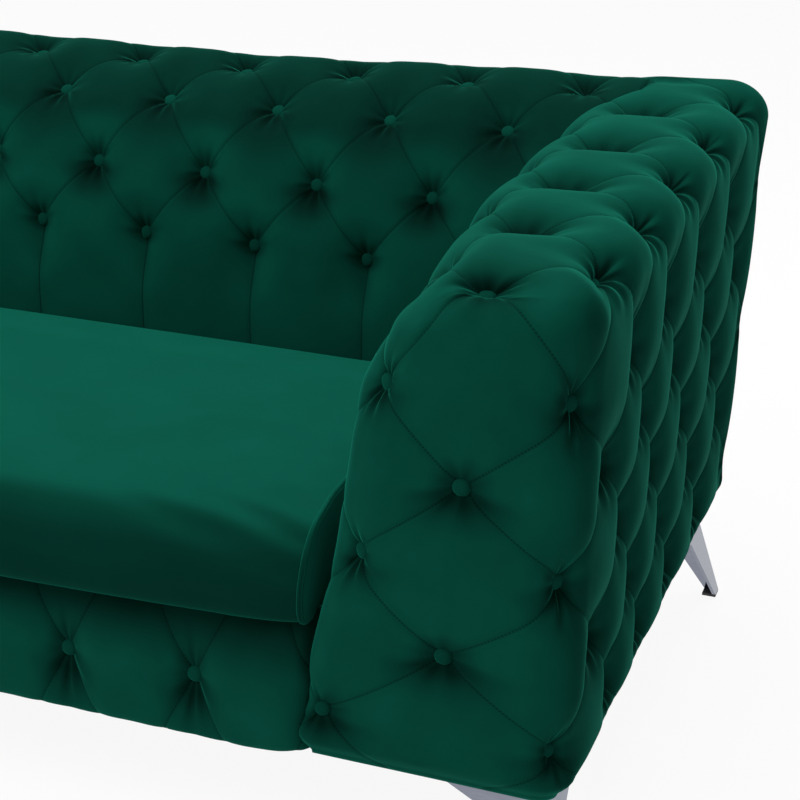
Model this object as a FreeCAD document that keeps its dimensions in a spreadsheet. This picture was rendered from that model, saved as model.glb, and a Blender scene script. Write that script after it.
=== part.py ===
import FreeCAD
import Part
import Sketcher
import math
import os
import re

# Tufted bench sofa in millimetres: X runs along the seat, the front faces -Y, Z is up.
# The origin lies on the floor under the middle of the sofa.

SIZES = [
    ("sofa_length", 2000, "length over both arms"),
    ("sofa_depth", 900, "depth from the arm front to the top of the back"),
    ("sofa_height", 762, "floor to the crown of an arm"),
    ("leg_height", 168, "floor to the underside of the frame"),
    ("arm_width", 250, "width of one padded arm at its top"),
    ("arm_spread", 84, "how much wider an arm is at its foot, on the seat side"),
    ("rear_rake", 75, "how far the outside back leans from foot to top"),
    ("wrap_pad", 48, "padding on the arm front, arm top and front rail"),
    ("outer_pad", 40, "padding on the outside of an arm"),
    ("inner_pad", 70, "padding on the seat side of an arm at its top"),
    ("back_pad_depth", 60, "padding on the back"),
    ("curve_gap", 2.4, "room between the back's flat-sided padding and its curved board"),
    ("edge_pad", 14, "padding left at a free edge"),
    ("edge_round", 42, "how wide a free edge is rounded"),
    ("tuft_depth", 26, "crown of a tuft above its button seat"),
    ("arm_nose", 40, "radius of the arm core where the front turns into the top"),
    ("nose_gap", 12, "side padding set back from that nose"),
    ("button_radius", 11, "radius of a covered button"),
    ("button_height", 10, "height of a covered button"),
    ("socket_gap", 0.4, "room round a button in its tuft"),
    ("panel_ply", 12, "plywood of the arm boxes"),
    ("board_ply", 22, "boards of the arm boxes and ribs"),
    ("rail_ply", 28, "seat rails"),
    ("rail_height", 118, "height of the seat rails"),
    ("border_height", 162, "height of the padded front rail"),
    ("back_sheet", 5, "curved board behind the back padding"),
    ("back_depth", 228, "curved back board at the seat to the top of the back's rear"),
    ("back_lean_radius", 290, "radius where the back starts to lean"),
    ("back_roll_radius", 153, "radius where the back rolls into its top"),
    ("back_lean_angle", 35, "degrees turned by the first arc of the back"),
    ("rear_cover_depth", 10, "padded cloth on the outside back"),
    ("strap_width", 60, "width of the seat webbing"),
    ("strap_gauge", 2, "thickness of the seat webbing"),
    ("cloth_gauge", 2, "thickness of the platform cloth and the dust cover"),
    ("deck_front_depth", 40, "deck padding at the front"),
    ("deck_rear_depth", 6, "deck padding at the back"),
    ("cushion_side", 88, "height of the cushion wall"),
    ("cushion_crown", 20, "rise of the cushion above its wall"),
    ("cushion_bulge", 9, "swell of the cushion wall"),
    ("cushion_gap", 3, "room round the cushion"),
    ("rest_gap", 0.3, "room between soft pieces that rest on each other"),
    ("leg_wing_top", 150, "width of a leg wing under the plate"),
    ("leg_wing_waist", 62, "width of a leg wing at its waist"),
    ("leg_wing_foot", 20, "width of a leg wing at the foot"),
    ("leg_waist_height", 118, "height of the leg's waist"),
    ("leg_splay", 40, "how far the foot stands out from the top, each way"),
    ("leg_inset", 46, "leg corner inside the padded side"),
    ("leg_lead", 2, "front leg corner ahead of the wooden frame"),
    ("leg_tuck", 20, "rear legs in from the foot of the raked back"),
    ("leg_sheet", 5, "metal of the leg"),
    ("leg_plate", 112, "side of the square leg plate"),
    ("glide_height", 4, "height of the glide under a foot"),
    ("screw_radius", 3, "leg screw shank"),
    ("screw_head", 6, "leg screw head radius"),
    ("screw_length", 20, "leg screw shank above the plate"),
    ("bolt_radius", 4, "bolt that ties an arm to a seat rail"),
    ("bolt_head", 9, "head radius of that bolt"),
    ("hole_gap", 0.3, "room round a screw or bolt"),
    ("block_side", 84, "side of a corner block"),
    ("tie_inset", 30.6, "tie bolt beyond the corner block"),
    ("back_pitch", 170, "button columns apart on the back"),
    ("border_columns", 9, "tufts across the front rail"),
    ("outer_columns", 5, "tufts along the outside of an arm"),
    ("outer_rows", 2.5, "tufts up the outside of an arm"),
    ("inner_columns", 4, "tufts along the seat side of an arm"),
    ("inner_rows", 2, "tufts up the seat side of an arm"),
    ("front_pitch", 204, "buttons apart up the arm front"),
    ("top_pitch", 170, "buttons apart along the arm top"),
    ("front_button_rise", 150, "lowest middle button above the frame's underside"),
    ("arm_edge_inset", 22, "outer button columns inside the edges of the arm top"),
    ("back_row_rise", 118, "lowest back button row above the back's foot"),
    ("back_row_pitch", 105, "button rows apart up the back"),
    ("border_row_pitch", 142, "row pitch of the front rail"),
    ("rib_count", 4, "ribs in the back"),
    ("strap_count", 10, "straps from front to back"),
    ("cross_count", 4, "straps from side to side"),
    ("brace_count", 3, "cross braces in the seat frame"),
]

# Places worked out from the sizes.
PLACES = [
    ("arm_out", "sofa_length / 2 - outer_pad"),
    ("arm_in", "sofa_length / 2 - arm_width + inner_pad"),
    ("foot_half", "sofa_length / 2 - arm_width - arm_spread"),
    ("core_front", "wrap_pad - sofa_depth / 2"),
    ("core_top", "sofa_height - wrap_pad"),
    ("rear_top", "sofa_depth / 2 - rear_cover_depth"),
    ("rear_foot", "sofa_depth / 2 - rear_cover_depth - rear_rake"),
    ("rail_top", "leg_height + rail_height"),
    ("strap_top", "leg_height + rail_height + 2 * strap_gauge"),
    ("deck_floor", "leg_height + rail_height + 2 * strap_gauge + cloth_gauge"),
    ("seat_half", "sofa_length / 2 - arm_width - arm_spread * "
     "(sofa_height - wrap_pad - leg_height - rail_height - 2 * strap_gauge - cloth_gauge) / "
     "(sofa_height - wrap_pad - leg_height)"),
    ("back_front_y", "sofa_depth / 2 - back_depth"),
    ("back_rail_front", "sofa_depth / 2 - back_depth + back_sheet - rail_ply"),
    ("deck_rear", "sofa_depth / 2 - back_depth - back_pad_depth - cushion_gap"),
    ("leg_out", "sofa_length / 2 - leg_inset"),
    ("leg_front", "wrap_pad - sofa_depth / 2 - leg_lead"),
    ("leg_rear", "sofa_depth / 2 - rear_cover_depth - rear_rake - leg_tuck"),
]

doc = FreeCAD.newDocument("tufted_sofa")
sizes = doc.addObject("Spreadsheet::Sheet", "sizes")
for row, (alias, number, note) in enumerate(SIZES, 1):
    sizes.set(f"A{row}", note)
    sizes.set(f"B{row}", str(number))
    sizes.setAlias(f"B{row}", alias)
places = doc.addObject("Spreadsheet::Sheet", "places")
SIZE_NAMES = {alias for alias, number, note in SIZES}
PLACE_NAMES = {alias for alias, formula in PLACES}


def qualified(text):
    """The expression with every named size and place led by its sheet."""
    def lead(match):
        word = match.group()
        if word in SIZE_NAMES:
            return "sizes." + word
        return "places." + word if word in PLACE_NAMES else word
    return re.sub(r"[a-z_]+", lead, text)


for row, (alias, formula) in enumerate(PLACES, 1):
    places.set(f"A{row}", alias.replace("_", " "))
    places.set(f"B{row}", "=" + qualified(formula))
    places.setAlias(f"B{row}", alias)
doc.recompute()

nodes = []


def value(name):
    """A named size or place as a number."""
    return float(getattr(sizes if name in SIZE_NAMES else places, name))


def bind(item, prop, text):
    item.setExpression(prop, qualified(text))


def keep(item, label):
    """Give a sub-part its label and list it for writing."""
    item.Label = label
    nodes.append(item)
    return item


def set_place(item, x, y, z):
    for axis, text in zip("xyz", (x, y, z)):
        bind(item, "Placement.Base." + axis, text)


def block(name, span, corner):
    """A box from its three lengths and its lowest corner, all as expressions."""
    box = doc.addObject("Part::Box", name)
    for prop, text in zip(("Length", "Width", "Height"), span):
        bind(box, prop, text)
    set_place(box, *corner)
    return box


def rod(name, radius, length, corner, turn=None):
    """A cylinder from its foot; turn lays it over from +Z."""
    bar = doc.addObject("Part::Cylinder", name)
    bind(bar, "Radius", radius)
    bind(bar, "Height", length)
    if turn is not None:
        bar.Placement = FreeCAD.Placement(FreeCAD.Vector(), turn)
    set_place(bar, *corner)
    return bar


def group(name, members):
    bundle = doc.addObject("Part::Compound", name)
    bundle.Links = members
    return bundle


def cut(name, base, tools):
    trimmed = doc.addObject("Part::Cut", name)
    trimmed.Base = base
    trimmed.Tool = group(name + "_holes", tools)
    return trimmed


def joined(name, members):
    union = doc.addObject("Part::MultiFuse", name)
    union.Shapes = members
    return union


def formed(name, shape, label=None):
    """A sub-part whose shape is worked out here from the sheets."""
    item = doc.addObject("Part::Feature", name)
    item.Shape = shape
    item.Placement = FreeCAD.Placement()
    return keep(item, label or name)


def plane_of(body, role):
    return next(plane for plane in body.Origin.OriginFeatures if plane.Role == role)


def outline(body, name, role, points, lift=None):
    """A closed sketch of straight sides whose corners are expressions."""
    sketch = body.newObject("Sketcher::SketchObject", name)
    sketch.AttachmentSupport = [(plane_of(body, role), "")]
    sketch.MapMode = "FlatFace"
    if lift is not None:
        bind(sketch, "AttachmentOffset.Base.z", lift)
    corners = [FreeCAD.Vector(math.cos(k * 2.1), math.sin(k * 2.1), 0) for k in range(len(points))]
    for k, corner in enumerate(corners):
        sketch.addGeometry(Part.LineSegment(corner, corners[(k + 1) % len(points)]), False)
    for k in range(len(points)):
        sketch.addConstraint(Sketcher.Constraint("Coincident", k, 2, (k + 1) % len(points), 1))
    for k, (across, along) in enumerate(points):
        for kind, text in (("DistanceX", across), ("DistanceY", along)):
            index = sketch.addConstraint(Sketcher.Constraint(kind, -1, 1, k, 1, 1.0))
            bind(sketch, f"Constraints[{index}]", text)
    return sketch


def slab(name, points, start, gauge):
    """A board with an outline in the Y-Z plane, padded along +X from start."""
    body = doc.addObject("PartDesign::Body", name)
    sketch = outline(body, name + "_outline", "YZ_Plane", points)
    pad = body.newObject("PartDesign::Pad", name + "_pad")
    pad.Profile = sketch
    bind(pad, "Length", gauge)
    bind(body, "Placement.Base.x", start)
    return body


class Profile:
    """Straight runs and tangent arcs in the Y-Z plane, walked by length. Arcs turn right,
    and the padding lies on the left."""

    def __init__(self, start, heading):
        self.runs = []
        self.point = start
        self.heading = math.radians(heading)
        self.length = 0.0

    def add(self, radius, length):
        self.runs.append((self.length, length, radius, self.point, self.heading))
        self.point, self.heading = self.step(self.runs[-1], length)
        self.length += length
        return self

    def line(self, length):
        return self.add(None, length)

    def arc(self, radius, degrees):
        return self.add(radius, radius * math.radians(degrees))

    @staticmethod
    def step(run, length):
        begin, whole, radius, (y, z), heading = run
        if radius is None:
            return (y + length * math.cos(heading), z + length * math.sin(heading)), heading
        turned = heading - length / radius
        y += radius * (math.sin(heading) - math.sin(turned))
        z += radius * (math.cos(turned) - math.cos(heading))
        return (y, z), turned

    def at(self, length):
        """Point and outward normal at a length from the start."""
        run = max((r for r in self.runs if r[0] <= length + 1e-6), key=lambda r: r[0])
        (y, z), heading = self.step(run, length - run[0])
        return FreeCAD.Vector(0, y, z), FreeCAD.Vector(0, -math.sin(heading), math.cos(heading))

    def edges(self, offset, x):
        """The same path as exact lines and arcs, moved outwards by offset, at one X."""
        made = []
        for begin, length, radius, point, heading in self.runs:
            spots = []
            for share in (0, 0.5, 1):
                spot, normal = self.at_run((begin, length, radius, point, heading), share * length)
                spots.append(spot + normal * offset + FreeCAD.Vector(x, 0, 0))
            curve = Part.LineSegment(spots[0], spots[2]) if radius is None else Part.Arc(*spots)
            made.append(curve.toShape())
        return made

    def at_run(self, run, length):
        (y, z), heading = self.step(run, length)
        return FreeCAD.Vector(0, y, z), FreeCAD.Vector(0, -math.sin(heading), math.cos(heading))


def lattice(low, high, scale, bends=()):
    """Grid lines on quarter tufts between two edges, with extra lines close to the edges and at
    the bends of the pad's path."""
    rim = [6 / scale, 20 / scale]
    lines = [low] + [low + r for r in rim] + [high - r for r in rim] + [high]
    inner = [k / 4 for k in range(math.ceil(low * 4), math.floor(high * 4) + 1)]
    lines += [q for q in inner if low + rim[1] * 1.3 < q < high - rim[1] * 1.3]
    lines = [q for q in lines if all(abs(q - bend) * scale > 3 for bend in bends)]
    return sorted(lines + list(bends))


class TuftedPad:
    """Foam with buttons on a diamond lattice. across and along count tufts, so that buttons lie
    where across + along and across - along are both whole. place(across, along) gives a point of
    the pad's flat back and the outward normal; spans are its edges in tufts and the mean size of
    one tuft in millimetres each way; depth is the crown at one place."""

    def __init__(self, place, across_span, along_span, depth, bends=()):
        self.place = place
        self.across_span = across_span
        self.along_span = along_span
        self.depth = depth
        self.bends = bends

    def edge_share(self, across, along):
        """0 at a free edge, 1 inside, rounded like a quarter circle."""
        gaps = []
        for spot, (low, high, scale) in ((across, self.across_span), (along, self.along_span)):
            gaps.append(min(spot - low, high - spot) * scale)
        share = max(0.0, min(1.0, min(gaps) / value("edge_round")))
        return math.sqrt(1 - (1 - share) ** 2)

    def thickness(self, across, along):
        """Crown less the tuft's fall: creases run from button to button, deepest at the buttons."""
        rise = abs(math.sin(math.pi * (across + along)))
        other = abs(math.sin(math.pi * (across - along)))
        swell = 0.35 * (rise + other) + 0.30 * math.sqrt(rise * other)
        crown = self.depth(along) - value("edge_pad") - value("tuft_depth") * (1 - swell)
        return value("edge_pad") + max(crown, 2.0) * self.edge_share(across, along)

    def spot(self, across, along):
        point, normal = self.place(across, along)
        return point + normal * self.thickness(across, along)

    def buttons(self):
        """Lattice points that lie a button's width inside the edges."""
        (a0, a1, a_scale), (b0, b1, b_scale) = self.across_span, self.along_span
        room = value("button_radius") + 9
        found = []
        for half_b in range(math.ceil(2 * b0), math.floor(2 * b1) + 1):
            for half_a in range(math.ceil(2 * a0), math.floor(2 * a1) + 1):
                a, b = half_a / 2, half_b / 2
                inside_a = min(a - a0, a1 - a) * a_scale > room
                inside_b = min(b - b0, b1 - b) * b_scale > room
                if (half_a + half_b) % 2 == 0 and inside_a and inside_b:
                    found.append((a, b))
        return found

    def solid(self):
        """The faceted foam block with a flat-floored socket for every button."""
        columns = lattice(*self.across_span)
        rows = lattice(*self.along_span, self.bends)
        front = [[self.spot(a, b) for a in columns] for b in rows]
        rear = [[self.place(a, b)[0] for a in columns] for b in rows]
        facets = []
        for j in range(len(rows) - 1):
            for i in range(len(columns) - 1):
                facets += self.cell(front, columns, rows, i, j)
                facets += [f[::-1] for f in self.cell(rear, columns, rows, i, j)]
        rim = [(0, i) for i in range(len(columns) - 1)]
        rim += [(j, len(columns) - 1) for j in range(len(rows) - 1)]
        rim += [(len(rows) - 1, i) for i in range(len(columns) - 1, 0, -1)]
        rim += [(j, 0) for j in range(len(rows) - 1, 0, -1)]
        for (j, i), (n, m) in zip(rim, rim[1:] + rim[:1]):
            facets.append((front[j][i], rear[j][i], rear[n][m]))
            facets.append((front[j][i], rear[n][m], front[n][m]))
        corners = [corner for facet in facets for corner in facet]
        order = [(3 * k, 3 * k + 1, 3 * k + 2) for k in range(len(facets))]
        skin = Part.Shape()
        skin.makeShapeFromMesh((corners, order), 0.01)
        foam = Part.makeSolid(skin).removeSplitter()
        if foam.Volume < 0:
            foam.reverse()
        sockets = [self.socket(a, b) for a, b in self.buttons()]
        return foam.cut(Part.makeCompound(sockets))

    def cell(self, grid, columns, rows, i, j):
        """Two triangles of one grid cell, split along the crease where one crosses it."""
        low_left, low_right = grid[j][i], grid[j][i + 1]
        high_left, high_right = grid[j + 1][i], grid[j + 1][i + 1]
        crease = columns[i] + rows[j + 1]
        if abs(crease - round(crease)) < 1e-6:
            return [(low_left, low_right, high_left), (low_right, high_right, high_left)]
        return [(low_left, low_right, high_right), (low_left, high_right, high_left)]

    def seat(self, across, along):
        """Floor of a button's socket, 1 mm under the tuft's lowest point, and its direction."""
        point, normal = self.place(across, along)
        return point + normal * (self.thickness(across, along) - 1), normal

    def socket(self, across, along):
        floor, normal = self.seat(across, along)
        radius = value("button_radius") + value("socket_gap")
        return Part.makeCylinder(radius, self.depth(along), floor, normal)

    def button_solids(self):
        made = []
        for across, along in self.buttons():
            floor, normal = self.seat(across, along)
            body = Part.makeCylinder(value("button_radius"), value("button_height"), floor, normal)
            rim = max(body.Edges, key=lambda e: e.CenterOfMass.dot(normal) if e.Closed else -1e9)
            made.append(body.makeFillet(value("button_height") * 0.55, [rim]))
        return Part.makeCompound(made)


def add_pad(pad, pad_label, button_label, cutter=None):
    foam = pad.solid()
    formed(pad_label, foam if cutter is None else foam.cut(cutter))
    formed(button_label, pad.button_solids())


def rear_line(z):
    """Y of the frame's raked back at a height."""
    share = (z - value("leg_height")) / (value("core_top") - value("leg_height"))
    return value("rear_foot") + value("rear_rake") * share


SIDES = (("left", -1), ("right", 1))
ENDS = (("front", -1), ("rear", 1))
SCREW_SHARES = ((0.3, 0.3), (0.75, 0.3), (0.3, 0.75), (0.75, 0.75))


def screw_spots(sign, end, facing):
    """Places of the four screws of one leg, shared by the plate and the board over it."""
    spots = []
    for across, along in SCREW_SHARES:
        x = f"{sign} * (leg_out - {across} * leg_plate)"
        spots.append((x, f"leg_{end} - {facing} * {along} * leg_plate"))
    return spots


RAKE = "rear_rake / (core_top - leg_height)"

# Arm boxes
for side, sign in SIDES:
    arm_outline = [("core_front", "leg_height"), ("rear_foot", "leg_height"),
                   ("rear_top", "core_top"), ("core_front + arm_nose", "core_top"),
                   ("core_front", "core_top - arm_nose")]
    for panel, near in (("outer", "arm_out - panel_ply"), ("inner", "arm_in")):
        start = near if sign > 0 else f"-({near}) - panel_ply"
        keep(slab(f"arm_{panel}_panel_{side}", arm_outline, start, "panel_ply"), f"arm_{panel}_panel_{side}")
    core = "arm_out - arm_in - 2 * panel_ply"
    inner_face = "arm_in + panel_ply" if sign > 0 else "panel_ply - arm_out"
    board = block(f"arm_base_board_{side}", (core, "rear_foot - core_front", "board_ply"),
                  (inner_face, "core_front", "leg_height"))
    reach = "leg_height - screw_length / 4"
    holes = []
    for end, facing in ENDS:
        for k, (x, y) in enumerate(screw_spots(sign, end, facing)):
            holes.append(rod(f"leg_hole_{end}_{side}_{k}", "screw_radius + hole_gap",
                             "screw_length + board_ply", (x, y, reach)))
    keep(cut(f"arm_base_{side}_drilled", board, holes), f"arm_base_{side}")
    keep(block(f"arm_front_board_{side}",
               (core, "board_ply", "core_top - arm_nose - leg_height - board_ply"),
               (inner_face, "core_front", "leg_height + board_ply")), f"arm_front_board_{side}")
    keep(block(f"arm_top_board_{side}",
               (core, f"rear_top - board_ply * {RAKE} - core_front - arm_nose", "board_ply"),
               (inner_face, "core_front + arm_nose", "core_top - board_ply")), f"arm_top_board_{side}")
    foot = f"rear_foot + board_ply * {RAKE}"
    post = [(f"{foot} - board_ply", "leg_height + board_ply"), (foot, "leg_height + board_ply"),
            (f"rear_top - board_ply * {RAKE}", "core_top - board_ply"),
            (f"rear_top - board_ply * {RAKE} - board_ply", "core_top - board_ply")]
    keep(slab(f"arm_rear_post_{side}", post, inner_face, core), f"arm_rear_post_{side}")

# Seat frame
seat_span = "2 * arm_in"
bolts = []
for rail, y in (("front", "core_front"), ("back", "back_rail_front")):
    keep(block(f"{rail}_rail_board", (seat_span, "rail_ply", "rail_height"), ("-arm_in", y, "leg_height")),
         f"{rail}_rail")
bay = "back_rail_front - core_front - rail_ply"
braces = []
for k in range(int(value("brace_count"))):
    x = f"2 * arm_in * {k + 1} / (brace_count + 1) - arm_in - rail_ply / 2"
    braces.append(block(f"brace_{k}", ("rail_ply", bay, "rail_height / 2"), (x, "core_front + rail_ply", "leg_height")))
keep(group("seat_braces", braces), "seat_braces")
for side, sign in SIDES:
    near = "arm_in - rail_ply" if sign > 0 else "-arm_in"
    board = block(f"side_rail_board_{side}", ("rail_ply", bay, "rail_height"),
                  (near, "core_front + rail_ply", "leg_height"))
    holes = []
    turn = FreeCAD.Rotation(FreeCAD.Vector(0, 1, 0), 90 * sign)
    for k, y in enumerate(("core_front + rail_ply + block_side + tie_inset",
                           "back_rail_front - block_side - tie_inset")):
        z = "leg_height + rail_height / 2"
        through = f"{sign} * (arm_in - rail_ply)"
        holes.append(rod(f"tie_hole_{side}_{k}", "bolt_radius + hole_gap", "rail_ply + panel_ply",
                         (through, y, z), turn))
        shank = rod(f"tie_shank_{side}_{k}", "bolt_radius", "rail_ply", (through, y, z), turn)
        head = rod(f"tie_head_{side}_{k}", "bolt_head", "bolt_radius",
                   (f"{through} - {sign} * bolt_radius", y, z), turn)
        bolts.append(joined(f"tie_bolt_{side}_{k}", [head, shank]))
    keep(cut(f"side_rail_{side}_drilled", board, holes), f"side_rail_{side}")
keep(group("arm_tie_bolts", bolts), "arm_tie_bolts")

# Back frame
lean = value("back_lean_angle")
arc_rise = value("back_lean_radius") * math.sin(math.radians(lean))
arc_rise += value("back_roll_radius") * (1 - math.sin(math.radians(lean)))


def back_profile(end_y):
    """Up from the deck, leaning back and rolling over into the top, as far as end_y."""
    path = Profile((value("back_front_y"), value("deck_floor")), 90)
    path.line(value("core_top") - value("deck_floor") - arc_rise)
    path.arc(value("back_lean_radius"), lean)
    path.arc(value("back_roll_radius"), 90 - lean)
    return path.line(end_y - path.point[0])


arm_in = value("arm_in")
sheet_depth = value("back_sheet")
board_path = back_profile(rear_line(value("core_top") - sheet_depth))
pad_path = back_profile(value("sofa_depth") / 2)


def prism(ring, span):
    """A closed ring of edges carried along +X."""
    return Part.Face(Part.Wire(Part.__sortEdges__(ring))).extrude(FreeCAD.Vector(span, 0, 0))


def chain(points):
    return [Part.makeLine(a, b) for a, b in zip(points, points[1:])]


def back_board():
    """The curved board: the back's path and the same path a sheet's depth behind it."""
    front = board_path.edges(0, -arm_in)
    rear = board_path.edges(-sheet_depth, -arm_in)
    low = chain([front[0].Vertexes[0].Point, rear[0].Vertexes[0].Point])
    high = chain([front[-1].Vertexes[-1].Point, rear[-1].Vertexes[-1].Point])
    return prism(front + rear + low + high, 2 * arm_in)


def rib(x):
    """A rib from the curved board to the raked rear, standing on the frame's underside."""
    line = board_path.edges(-sheet_depth, x)[:-1]
    low, high = line[0].Vertexes[0].Point, line[-1].Vertexes[-1].Point
    floor = value("leg_height")
    route = [high, FreeCAD.Vector(x, rear_line(high.z), high.z), FreeCAD.Vector(x, rear_line(floor), floor),
             FreeCAD.Vector(x, low.y, floor), low]
    return prism(line + chain(route), value("board_ply"))


def under_board(y):
    """Height of the curved board's underside just before it has come as far back as y."""
    height = value("core_top") - sheet_depth
    for step in range(401):
        point, normal = board_path.at(board_path.length * step / 400)
        point = point - normal * sheet_depth
        if point.y >= y:
            return height
        height = point.z
    return height


def top_rail(x, span):
    """A stiffener under the back's top, against the raked rear."""
    top = value("core_top") - sheet_depth
    high = min(top, under_board(rear_line(top) - value("board_ply")))
    low = high - 2 * value("board_ply")
    depth = value("board_ply")
    corners = [FreeCAD.Vector(x, rear_line(low) - depth, low), FreeCAD.Vector(x, rear_line(low), low),
               FreeCAD.Vector(x, rear_line(high), high), FreeCAD.Vector(x, rear_line(high) - depth, high)]
    return prism(chain(corners + corners[:1]), span)


formed("back_panel", back_board())
rib_count = int(value("rib_count"))
rib_step = (2 * arm_in - value("board_ply")) / (rib_count - 1)
rib_spots = [rib_step * k - arm_in for k in range(rib_count)]
formed("back_ribs", Part.makeCompound([rib(x) for x in rib_spots]))
rail_span = rib_step - value("board_ply")
formed("back_top_rails",
       Part.makeCompound([top_rail(x + value("board_ply"), rail_span) for x in rib_spots[:-1]]))

# Corner blocks of the seat frame
blocks = []
for side, sign in SIDES:
    for end, facing in ENDS:
        y = "core_front + rail_ply" if end == "front" else "back_rail_front"
        x = f"{sign} * (arm_in - rail_ply)"
        corners = [(x, y), (f"{x} - {sign} * block_side", y), (x, f"{y} - {facing} * block_side")]
        block_body = doc.addObject("PartDesign::Body", f"corner_block_{end}_{side}")
        sketch = outline(block_body, f"corner_block_{end}_{side}_outline", "XY_Plane", corners, "leg_height")
        pad = block_body.newObject("PartDesign::Pad", f"corner_block_{end}_{side}_pad")
        pad.Profile = sketch
        bind(pad, "Length", "rail_height - rail_ply")
        blocks.append(block_body)
keep(group("corner_blocks", blocks), "corner_blocks")

# Seat suspension and deck
straps = []
for k in range(int(value("strap_count"))):
    x = f"2 * arm_in * ({k} + 0.5) / strap_count - arm_in - strap_width / 2"
    straps.append(block(f"strap_{k}", ("strap_width", "back_rail_front + rail_ply - core_front", "strap_gauge"),
                        (x, "core_front", "rail_top")))
keep(group("seat_straps", straps), "seat_straps")
crossings = []
for k in range(int(value("cross_count"))):
    y = f"core_front + rail_ply + ({bay}) * ({k} + 0.5) / cross_count - strap_width / 2"
    crossings.append(block(f"cross_strap_{k}", (seat_span, "strap_width", "strap_gauge"),
                           ("-arm_in", y, "rail_top + strap_gauge")))
keep(group("seat_cross_straps", crossings), "seat_cross_straps")
keep(block("platform_sheet", (seat_span, "back_front_y + back_sheet - core_front", "cloth_gauge"),
           ("-arm_in", "core_front", "strap_top")), "platform_cloth")
deck_outline = [("core_front", "deck_floor"), ("deck_rear", "deck_floor"),
                ("deck_rear", "deck_floor + deck_rear_depth"), ("core_front", "deck_floor + deck_front_depth")]
keep(slab("deck_wedge", deck_outline, "cushion_gap - seat_half", "2 * (seat_half - cushion_gap)"), "deck_pad")

# Outside back and underside
cover_outline = [("rear_foot", "leg_height"), ("rear_foot + rear_cover_depth", "leg_height"),
                 ("rear_top + rear_cover_depth", "core_top"), ("rear_top", "core_top")]
keep(slab("rear_panel", cover_outline, "-arm_out", "2 * arm_out"), "rear_cover")
keep(block("dust_sheet", (seat_span, "rear_foot - core_front", "cloth_gauge"),
           ("-arm_in", "core_front", "leg_height - cloth_gauge")), "dust_cover")

# Tufted padding
seat_half = value("seat_half")
core_front, core_top = value("core_front"), value("core_top")
floor, deck = value("leg_height"), value("deck_floor")


def back_line(z):
    """Y of the curved board's front at a height, found by halving the path."""
    low, high = 0.0, pad_path.length
    for halving in range(40):
        middle = (low + high) / 2
        if pad_path.at(middle)[0].z < z:
            low = middle
        else:
            high = middle
    return pad_path.at(low)[0].y


def nose_line(z):
    """Y of the side padding's front edge: straight, then round under the arm's nose."""
    radius = value("arm_nose") + value("nose_gap")
    over = max(0.0, z - (core_top - radius))
    return core_front + radius - math.sqrt(max(0.0, radius ** 2 - over ** 2))


def arm_wall(z):
    """X of the right arm's padded seat side at a height."""
    share = (min(z, core_top) - floor) / (core_top - floor)
    return value("foot_half") + value("arm_spread") * share


period = 2 * value("back_row_pitch")
border_pitch = 2 * value("foot_half") / value("border_columns")
columns_half = seat_half / value("back_pitch")
even_half = math.floor(columns_half)


def back_place(across, along):
    """Even columns, with the last part of a tuft stretched to the arm's sloping side."""
    point, normal = pad_path.at(value("back_row_rise") + along * 2 * value("back_row_pitch"))
    x = across * value("back_pitch")
    if abs(across) > even_half:
        inner = even_half * value("back_pitch")
        rest = arm_wall(point.z) - value("rest_gap") - inner
        x = math.copysign(inner + rest * (abs(across) - even_half) / (columns_half - even_half), across)
    return point + normal * value("curve_gap") + FreeCAD.Vector(x, 0, 0), normal


def border_place(across, along):
    z = floor + value("border_height") / 2 + along * 2 * value("border_row_pitch")
    x = across * border_pitch - value("foot_half")
    return FreeCAD.Vector(x, core_front, z), FreeCAD.Vector(0, -1, 0)


def even(size):
    """A pad's crown that is the same everywhere."""
    return lambda along: size


back_low = -value("back_row_rise") / period
back_high = (pad_path.length - value("back_row_rise")) / period
back_pad = TuftedPad(back_place, (-columns_half, columns_half, value("back_pitch")),
                     (back_low, back_high, period), even(value("back_pad_depth") - value("curve_gap")))
add_pad(back_pad, "back_pad", "back_buttons")

border_period = 2 * value("border_row_pitch")
border_share = value("border_height") / 2 / border_period
rim_gap = value("cushion_gap") / 2 / border_pitch
border_pad = TuftedPad(border_place, (rim_gap, value("border_columns") - rim_gap, border_pitch),
                       (-border_share, border_share, border_period), even(value("wrap_pad")))
add_pad(border_pad, "front_border_pad", "front_border_buttons")

wrap_path = Profile((core_front, floor), 90).line(core_top - floor - value("arm_nose"))
wrap_path.arc(value("arm_nose"), 90)
wrap_path.line(value("sofa_depth") / 2 - wrap_path.point[0])
NOSE_ROW = 2
NOSE_STEPS = 4
nose_begin = wrap_path.runs[1][0]
nose_lengths = [nose_begin + wrap_path.runs[1][1] * k / NOSE_STEPS for k in range(NOSE_STEPS + 1)]


def wrap_length(along):
    """Length up the arm front and over its nose at a tuft count: front pitch, then top pitch."""
    on_front = value("front_button_rise") + min(along, NOSE_ROW) * value("front_pitch")
    return on_front + max(0.0, along - NOSE_ROW) * value("top_pitch")


def wrap_tufts(length):
    """Tuft count at a length up the arm front and over its nose."""
    nose = wrap_length(NOSE_ROW)
    if length > nose:
        return NOSE_ROW + (length - nose) / value("top_pitch")
    return (length - value("front_button_rise")) / value("front_pitch")


def behind_back():
    """All that lies behind the front of the curved board, with room for the padding."""
    line = pad_path.edges(value("rest_gap"), -arm_in)
    low, high = line[0].Vertexes[0].Point, line[-1].Vertexes[-1].Point
    return prism(line + chain([high, FreeCAD.Vector(-arm_in, high.y, low.z), low]), 2 * arm_in)


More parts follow.
